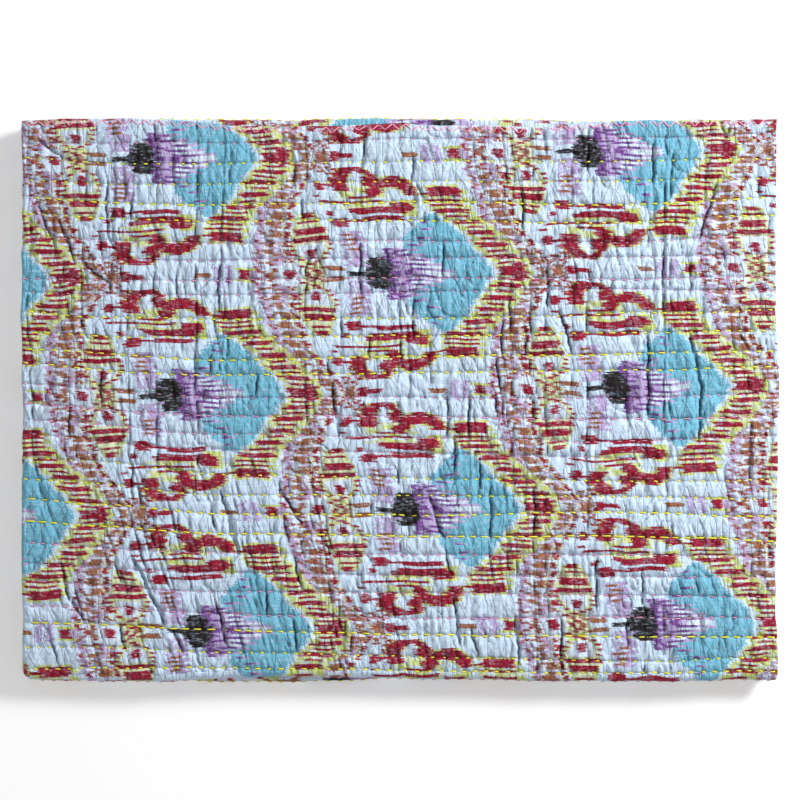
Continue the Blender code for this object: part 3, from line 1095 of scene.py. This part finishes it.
class Nodes:
    """Short ways to add and join shader nodes in one material."""

    def __init__(self, name):
        self.material = bpy.data.materials.new(name)
        self.material.use_nodes = True
        self.tree = self.material.node_tree
        self.tree.nodes.clear()

    def join(self, value, socket):
        """Link an output to a socket, or set a constant on it."""
        if isinstance(value, bpy.types.NodeSocket):
            self.tree.links.new(value, socket)
        else:
            socket.default_value = value

    def math(self, operation, first, second=0.0, third=0.0):
        """One math node."""
        node = self.tree.nodes.new("ShaderNodeMath")
        node.operation = operation
        for socket, value in zip(node.inputs, (first, second, third)):
            self.join(value, socket)
        return node.outputs[0]

    def noise(self, x, y, place, detail=0.0, cell=None):
        """Noise between about -1 and 1, one swing in each cell, or in each unit."""
        if cell:
            x, y = self.math("DIVIDE", x, cell[0]), self.math("DIVIDE", y, cell[1])
        spot = self.tree.nodes.new("ShaderNodeCombineXYZ")
        self.join(x, spot.inputs[0])
        self.join(y, spot.inputs[1])
        self.join(place, spot.inputs[2])
        node = self.tree.nodes.new("ShaderNodeTexNoise")
        node.noise_dimensions = "3D"
        node.inputs["Scale"].default_value = 1.0
        node.inputs["Detail"].default_value = detail
        node.inputs["Roughness"].default_value = 0.55
        self.tree.links.new(spot.outputs[0], node.inputs["Vector"])
        return self.math("MULTIPLY_ADD", node.outputs[0], 3.2, -1.6)

    def mix(self, factor, first, second, blend="MIX"):
        """Mix two colours."""
        node = self.tree.nodes.new("ShaderNodeMix")
        node.data_type = "RGBA"
        node.blend_type = blend
        node.clamp_factor = True
        self.join(factor, node.inputs[0])
        self.join(first, node.inputs[6])
        self.join(second, node.inputs[7])
        return node.outputs[2]

    def bump(self, height, distance, strength, normal=None):
        """Bump from a height, with distance in metres."""
        node = self.tree.nodes.new("ShaderNodeBump")
        node.inputs["Strength"].default_value = strength
        node.inputs["Distance"].default_value = distance
        self.join(height, node.inputs["Height"])
        if normal is not None:
            self.join(normal, node.inputs["Normal"])
        return node.outputs[0]

    def surface(self, colour, roughness, normal=None, sheen=0.0):
        """Principled shader and output."""
        node = self.tree.nodes.new("ShaderNodeBsdfPrincipled")
        out = self.tree.nodes.new("ShaderNodeOutputMaterial")
        self.join(colour, node.inputs["Base Color"])
        node.inputs["Roughness"].default_value = roughness
        node.inputs["Specular IOR Level"].default_value = 0.2
        node.inputs["Sheen Weight"].default_value = sheen
        node.inputs["Sheen Roughness"].default_value = 0.6
        if normal is not None:
            self.join(normal, node.inputs["Normal"])
        self.tree.links.new(node.outputs[0], out.inputs["Surface"])
        return self.material


WRINKLES = (
    # lean, width, length, place in the noise, height
    (0.05, 7.0, 34.0, 21.5, -1.0),
    (0.45, 8.5, 30.0, 27.5, 0.7),
    (-0.5, 9.0, 32.0, 36.5, -0.8),
)
PRINT_LEAN = 0.117
PRINT_TURN = 0.0157
PRINT_U = 228.2
PRINT_V = 246.2
THREAD = 1.18
WEAVE_PITCH = 0.9
FADED = (206, 220, 236)
STAINED = (138, 162, 192)
# Colour of the painted shade in narrow creases
SHADED = (108, 108, 118)


def print_ramp(nodes, row, labels, place):
    """Hard-edged colour ramp for one row of the chart, in a small group of its own."""
    group = bpy.data.node_groups.new(f"print_row_{row:02d}", "ShaderNodeTree")
    group.interface.new_socket("Place", in_out="INPUT", socket_type="NodeSocketFloat")
    group.interface.new_socket("Colour", in_out="OUTPUT", socket_type="NodeSocketColor")
    enter, leave = group.nodes.new("NodeGroupInput"), group.nodes.new("NodeGroupOutput")
    ramp_node = group.nodes.new("ShaderNodeValToRGB")
    ramp = ramp_node.color_ramp
    ramp.interpolation = "CONSTANT"
    found = spans(labels)
    while len(ramp.elements) < len(found):
        ramp.elements.new(1.0)
    for item, (first, label) in zip(ramp.elements, found):
        item.position = first / CHART_STEPS
        item.color = rgba(COLOURS[label])
    group.links.new(enter.outputs[0], ramp_node.inputs[0])
    group.links.new(ramp_node.outputs[0], leave.inputs[0])
    node = nodes.tree.nodes.new("ShaderNodeGroup")
    node.node_tree = group
    nodes.join(place, node.inputs[0])
    return node.outputs[0]


def cotton_material():
    """Printed cotton: the ikat repeat with its threads, worn colours, painted shade in narrow creases, weave
    and fine wrinkles.
    """
    nodes = Nodes("printed_cotton")
    field = nodes.tree.nodes.new("ShaderNodeAttribute")
    field.attribute_name = "cloth"
    parts = nodes.tree.nodes.new("ShaderNodeSeparateXYZ")
    nodes.tree.links.new(field.outputs["Vector"], parts.inputs[0])
    x, y, counted = parts.outputs

    # Chart coordinates
    u = nodes.math("MULTIPLY_ADD", y, PRINT_LEAN, PRINT_U)
    u = nodes.math("DIVIDE", nodes.math("ADD", u, x), UNIT)
    v = nodes.math("MULTIPLY_ADD", x, PRINT_TURN, PRINT_V)
    v = nodes.math("DIVIDE", nodes.math("SUBTRACT", v, y), UNIT)
    thread = nodes.math("FLOOR", nodes.math("DIVIDE", v, THREAD))
    slow = nodes.noise(nodes.math("DIVIDE", u, 42.0), nodes.math("MULTIPLY", thread, 0.83), 1.5)
    shift = nodes.math("MULTIPLY", slow, 2.0)
    quick = nodes.noise(nodes.math("DIVIDE", u, 11.0), nodes.math("MULTIPLY", thread, 0.71), 7.5)
    shift = nodes.math("MULTIPLY_ADD", quick, 1.2, shift)
    broad = nodes.noise(u, v, 3.5, cell=(60.0, 7.0))
    shift = nodes.math("MULTIPLY_ADD", broad, 1.8, shift)
    fibre = nodes.noise(u, v, 30.5, cell=(0.9, 0.5))
    shift = nodes.math("MULTIPLY_ADD", fibre, 2.2, shift)
    u_moved = nodes.math("ADD", u, shift)
    sway = nodes.noise(u, v, 9.5, cell=(26.0, 26.0))
    v_moved = nodes.math("MULTIPLY_ADD", sway, 1.6, nodes.math("MULTIPLY_ADD", fibre, 0.5, v))
    along = nodes.math("DIVIDE", nodes.math("SUBTRACT", u_moved, CUT), HALF)
    number = nodes.math("FLOOR", along)
    place = nodes.math("SUBTRACT", along, number)
    odd = nodes.math("FLOORED_MODULO", number, 2.0)
    lifted = nodes.math("MULTIPLY_ADD", odd, BAND, v_moved)
    across = nodes.math("PINGPONG", lifted, BAND)

    colour = None
    for row, labels in enumerate(chart_rows()):
        ramp = print_ramp(nodes, row, labels, place)
        if colour is None:
            colour = ramp
        else:
            colour = nodes.mix(nodes.math("GREATER_THAN", across, row * ROW_STEP), colour, ramp)

    # Worn threads, mottled ground, slow change of tone, and painted shade in narrow creases
    bare = nodes.noise(nodes.math("DIVIDE", u, 6.0), nodes.math("MULTIPLY", thread, 0.9), 12.5, 1.0)
    worn = nodes.math("MULTIPLY_ADD", bare, 0.5, -0.06)
    colour = nodes.mix(worn, colour, rgba(FADED))
    dyed = nodes.noise(u, v, 33.5, 2.0, (8.0, 5.0))
    colour = nodes.mix(nodes.math("MULTIPLY_ADD", dyed, 0.4, -0.08), colour, rgba(STAINED))
    tone = nodes.noise(nodes.math("DIVIDE", u, 14.0), nodes.math("MULTIPLY", thread, 0.9), 15.5)
    tone = nodes.math("MULTIPLY_ADD", tone, 0.1, 1.0)
    patchy = nodes.noise(x, y, 18.5, 2.0, (60.0, 60.0))
    tone = nodes.math("MULTIPLY_ADD", patchy, 0.03, tone)
    grey = nodes.tree.nodes.new("ShaderNodeCombineColor")
    for socket in grey.inputs[:3]:
        nodes.join(tone, socket)
    colour = nodes.mix(1.0, colour, grey.outputs[0], "MULTIPLY")
    # Painted shade: the colour is multiplied towards SHADED in narrow creases, where shade falls
    painted_shade = nodes.tree.nodes.new("ShaderNodeAttribute")
    painted_shade.attribute_name = "painted_shade"
    colour = nodes.mix(painted_shade.outputs["Fac"], colour, rgba(SHADED), "MULTIPLY")

    # Wrinkles, grooves along the rows, and weave
    height = nodes.math("MULTIPLY", nodes.noise(x, y, 24.5, cell=(6.0, 7.0)), 0.5)
    for lean, width, length, place, size in WRINKLES:
        leaning = nodes.math("MULTIPLY_ADD", y, lean, x)
        wrinkle = nodes.noise(leaning, y, place, 0.5, (width, length))
        line = nodes.math("POWER", nodes.math("SUBTRACT", 1.0, nodes.math("ABSOLUTE", wrinkle)), 7.0)
        height = nodes.math("MULTIPLY_ADD", line, size, height)
    away = nodes.math("ABSOLUTE", nodes.math("SUBTRACT", counted, nodes.math("ROUND", counted)))
    groove = nodes.math("EXPONENT", nodes.math("MULTIPLY", away, -16.0))
    height = nodes.math("MULTIPLY_ADD", groove, -1.0, height)
    normal = nodes.bump(height, 0.001, 0.8)
    warp = nodes.math("SINE", nodes.math("MULTIPLY", x, 2 * math.pi / WEAVE_PITCH))
    weft = nodes.math("SINE", nodes.math("MULTIPLY", y, 2 * math.pi / WEAVE_PITCH))
    normal = nodes.bump(nodes.math("MULTIPLY", warp, weft), 0.00008, 0.5, normal)
    return nodes.surface(colour, 0.92, normal, 0.08)


def thread_material(name, colour):
    """Twisted cotton thread of one colour."""
    nodes = Nodes(name)
    field = nodes.tree.nodes.new("ShaderNodeTexCoord")
    parts = nodes.tree.nodes.new("ShaderNodeSeparateXYZ")
    nodes.tree.links.new(field.outputs["Object"], parts.inputs[0])
    x = nodes.math("MULTIPLY", parts.outputs[0], 1000.0)
    y = nodes.math("MULTIPLY", parts.outputs[1], 1000.0)
    across = nodes.math("ADD", x, nodes.math("MULTIPLY", y, 1.4))
    twist = nodes.math("SINE", nodes.math("MULTIPLY", across, 5.0))
    tone = nodes.noise(x, y, 2.5, cell=(14.0, 9.0))
    darker = tuple(0.86 * value for value in rgba(colour)[:3]) + (1.0,)
    mixed = nodes.mix(nodes.math("MULTIPLY_ADD", tone, 0.35, 0.35), rgba(colour), darker)
    return nodes.surface(mixed, 0.8, nodes.bump(twist, 0.0001, 0.5), 0.1)


# Stitches


def top_height(row, part, x, y):
    """Height of the top face at places in one band, in millimetres."""
    flat = run_level(0) + OFFSET + SHEET / 2 + loft(x, y)
    return (flat + face_height(row, part, x, y)) * press(x, y)


def face_point(row, part, x, y):
    """Places of points on the top face, in one band."""
    moved_x, moved_y = waver(0, x, y)
    z = top_height(row, part, x, y)
    return np.stack([x + side_shift(0, x, y) + moved_x, y + moved_y, z], axis=1)


# Half length and radius of a pink and a yellow stitch
STITCH_HALF = (2.7, 3.0)
STITCH_RADIUS = (0.55, 0.75)
STITCH_SIDES = 6
STITCH_RINGS = (
    # part of the length, part of the radius, height
    (-1.0, 0.35, -0.75),
    (-0.86, 0.85, -0.25),
    (-0.4, 1.0, 0.5),
    (0.4, 1.0, 0.5),
    (0.86, 0.85, -0.25),
    (1.0, 0.35, -0.75),
)


def add_stitch(verts, faces, start, end, radius, out=(0.0, 0.0, 1.0)):
    """One stitch from start to end: a short tube that dives into the cloth at both ends, and faces out."""
    along = end - start
    length = np.linalg.norm(along)
    along = along / length
    aside = np.cross(out, along)
    up = np.cross(along, aside)
    middle = (start + end) / 2
    first = len(verts)
    for part, size, height in STITCH_RINGS:
        centre = middle + along * part * length / 2 + up * height * radius
        for side in range(STITCH_SIDES):
            turn = 2 * math.pi * side / STITCH_SIDES
            verts.append(centre + size * radius * (aside * math.cos(turn) + up * math.sin(turn)))
    for ring in range(len(STITCH_RINGS) - 1):
        base = first + ring * STITCH_SIDES
        for side in range(STITCH_SIDES):
            beside = (side + 1) % STITCH_SIDES
            beyond = base + STITCH_SIDES
            faces.append((base + side, base + beside, beyond + beside, beyond + side))
    last = first + (len(STITCH_RINGS) - 1) * STITCH_SIDES
    faces.append(tuple(first + side for side in reversed(range(STITCH_SIDES))))
    faces.append(tuple(last + side for side in range(STITCH_SIDES)))


def stitch_row(row, verts, faces, rng):
    """All stitches of one row."""
    thread = ROWS[row - 1][0]
    places = np.arange(-HALF_WIDTH + 1.5, HALF_WIDTH - 1.5, 0.25)
    phase = stitch_phase(row, places)
    counts = np.arange(math.ceil(phase[0]), math.floor(phase[-1]) + 1)
    middles = np.interp(counts, phase, places)
    halves = STITCH_HALF[thread] * rng.uniform(0.6, 1.5) * rng.uniform(0.75, 1.15, len(counts))
    first = np.clip(middles - halves, -HALF_WIDTH + 2.0, HALF_WIDTH - 2.5)
    last = np.clip(middles + halves, -HALF_WIDTH + 2.0, HALF_WIDTH - 2.5)
    none = np.zeros(len(counts))
    starts = face_point(row, none, first, row_height(row, first))
    ends = face_point(row, none, last, row_height(row, last))
    swing = rng.uniform(-0.35, 0.35, len(counts))
    starts[:, 1] -= swing
    ends[:, 1] += swing
    for start, end, length in zip(starts, ends, last - first):
        if length > 2.0:
            add_stitch(verts, faces, start, end, STITCH_RADIUS[thread])


HEM_THREAD = PINK
ZIGZAG_PITCH = 13.0
ZIGZAG_DEPTH = 6.5


def zigzag(verts, faces, rng):
    """Slanting stitches that hold the hem."""
    steps = ZIGZAG_PITCH / 2 * rng.uniform(0.85, 1.15, int(2 * (2 * HALF_WIDTH - 8.0) / ZIGZAG_PITCH))
    x = -HALF_WIDTH + 3.0 + np.concatenate([[0.0], np.cumsum(steps)])
    x = x[x < HALF_WIDTH - 3.0]
    inset = np.where(np.arange(len(x)) % 2 == 0, 1.0, ZIGZAG_DEPTH * rng.uniform(0.85, 1.15, len(x)))
    hem = row_height(0, x)
    y = hem - inset
    part = np.clip((inset - EDGE_STATIONS[-1]) / (hem - EDGE_STATIONS[-1] - row_height(1, x)), 0.0, 1.0)
    points = face_point(0, part, x, y)
    for start, end in zip(points[:-1], points[1:]):
        add_stitch(verts, faces, start, end, 0.62)


FOLD_THREADS = (PINK, YELLOW, YELLOW)
BOOK_STITCH = 26.0


def fold_stitches(thread, verts, faces, rng):
    """Stitches of the row that runs along the middle of each front or back fold."""
    for kind, run, first, last in RUN_TABLE:
        if kind == "run" or FOLD_THREADS[run] != thread:
            continue
        front = run % 2 == 0
        middles = np.arange(-HALF_WIDTH + 8.0, HALF_WIDTH - 6.0, STITCH_PERIOD)
        middles = middles + rng.uniform(-1.2, 1.2, len(middles))
        halves = STITCH_HALF[thread] * rng.uniform(0.7, 1.2, len(middles))
        at = np.stack([middles - halves, middles + halves]).ravel()
        if front:
            u = np.interp(-at, -np.array(UPPER_X), np.arange(len(UPPER_X)))
        else:
            u = U_BOOK + np.interp(at, LOWER_X, np.arange(len(LOWER_X)))
        places = carry(u, np.full(len(at), (first + last) / 2), np.ones(len(at)), 1.0, False)[0]
        out = (0.0, -1.0 if front else 1.0, 0.0)
        for start, end in places.reshape(2, -1, 3).transpose(1, 0, 2):
            add_stitch(verts, faces, start, end, STITCH_RADIUS[thread], out)


def book_stitches(thread, verts, faces):
    """Stitches that go round the book fold where a row meets it, on every run."""
    turns = [90.0 - BOOK_STITCH, 90.0 + BOOK_STITCH]
    u = U_UPPER + np.interp(turns, BOOK_TURNS, np.arange(len(BOOK_TURNS)))
    for kind, run, first, last in RUN_TABLE:
        if kind == "fold":
            continue
        if run == 0:
            rows = [2.0 + row for row in range(1, len(ROWS) + 1) if ROWS[row - 1][0] == thread]
        else:
            v = np.linspace(first + 2, last - 2, 400)
            counted = carry(np.full(len(v), u[0]), v, np.ones(len(v)), 1.0, False)[1][:, 2]
            whole = np.arange(math.ceil(counted[0]), math.floor(counted[-1]) + 1)
            rows = np.interp(whole, counted, v)[(whole // 4) % 2 == thread]
        for v in rows:
            start, end = carry(u, np.full(2, v), np.ones(2), 1.0, run == 0)[0]
            add_stitch(verts, faces, start, end, STITCH_RADIUS[thread], (-1.0, 0.0, 0.0))


def make_stitches(thread, name, material):
    """Every stitch of one thread."""
    verts, faces = [], []
    rng = np.random.default_rng(SEED + 100 + thread)
    for row in range(1, len(ROWS) + 1):
        if ROWS[row - 1][0] == thread:
            stitch_row(row, verts, faces, rng)
    if thread == HEM_THREAD:
        zigzag(verts, faces, rng)
    fold_stitches(thread, verts, faces, rng)
    book_stitches(thread, verts, faces)
    return make_object(name, to_world(np.array(verts)), faces, material)


cotton = cotton_material()
yellow = thread_material("yellow_thread", (255, 243, 66))
pink = thread_material("pink_thread", (250, 170, 200))

layers = make_layers(cotton)
faces = make_face(cotton)
stitches_yellow = make_stitches(YELLOW, "stitches_yellow", yellow)
stitches_pink = make_stitches(PINK, "stitches_pink", pink)

for piece in (layers, *faces, stitches_yellow, stitches_pink):
    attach(piece, "root")
    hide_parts("quilt")


# Floor, camera and light

FLOOR_HALF = 6.0
SENSOR = 36.0
CAMERA_PLACE = (0.00025, 0.0005, 3.0335)
# The picture is VIEW_WIDTH across at OUTLINE_LEVEL above the floor
VIEW_WIDTH = 0.8056
OUTLINE_LEVEL = 0.0215


def make_floor():
    """Plain pale floor."""
    nodes = Nodes("studio_floor")
    material = nodes.surface((0.8, 0.8, 0.8, 1.0), 0.9)
    shader = next(node for node in nodes.tree.nodes if node.type == "BSDF_PRINCIPLED")
    shader.inputs["Emission Color"].default_value = (1.0, 1.0, 1.0, 1.0)
    shader.inputs["Emission Strength"].default_value = 0.3
    half = FLOOR_HALF
    corners = ((-half, -half, 0), (half, -half, 0), (half, half, 0), (-half, half, 0))
    floor = make_object("floor", corners, [(0, 1, 2, 3)], material)


def area_light(name, place, size, power):
    """Soft square light that looks at the middle of the floor."""
    data = bpy.data.lights.new(name, "AREA")
    data.shape = "SQUARE"
    data.size = size
    data.energy = power
    item = bpy.data.objects.new(name, data)
    item.location = place
    bpy.context.scene.collection.objects.link(item)
    tilt = math.atan2(math.hypot(place[0], place[1]), place[2])
    item.rotation_euler = (tilt, 0.0, math.atan2(-place[1], -place[0]) - math.pi / 2)


def make_camera():
    """Camera straight above the quilt, as in the photo."""
    data = bpy.data.cameras.new("camera")
    data.lens = SENSOR * (CAMERA_PLACE[2] - OUTLINE_LEVEL) / VIEW_WIDTH
    data.sensor_width = SENSOR
    item = bpy.data.objects.new("camera", data)
    item.location = CAMERA_PLACE
    bpy.context.scene.collection.objects.link(item)
    bpy.context.scene.camera = item


make_floor()
make_camera()
area_light("key_light", (2.5, 1.5, 1.8), 0.9, 133.0)
area_light("fill_light", (-1.8, -0.6, 2.4), 2.4, 6.0)

world = bpy.data.worlds.new("studio")
world.use_nodes = True
world.node_tree.nodes["Background"].inputs["Color"].default_value = (1.0, 1.0, 1.0, 1.0)
world.node_tree.nodes["Background"].inputs["Strength"].default_value = 0.37
bpy.context.scene.world = world
bpy.context.scene.view_settings.view_transform = "Standard"
bpy.context.scene.view_settings.look = "None"
bpy.context.scene.view_settings.exposure = 0.0
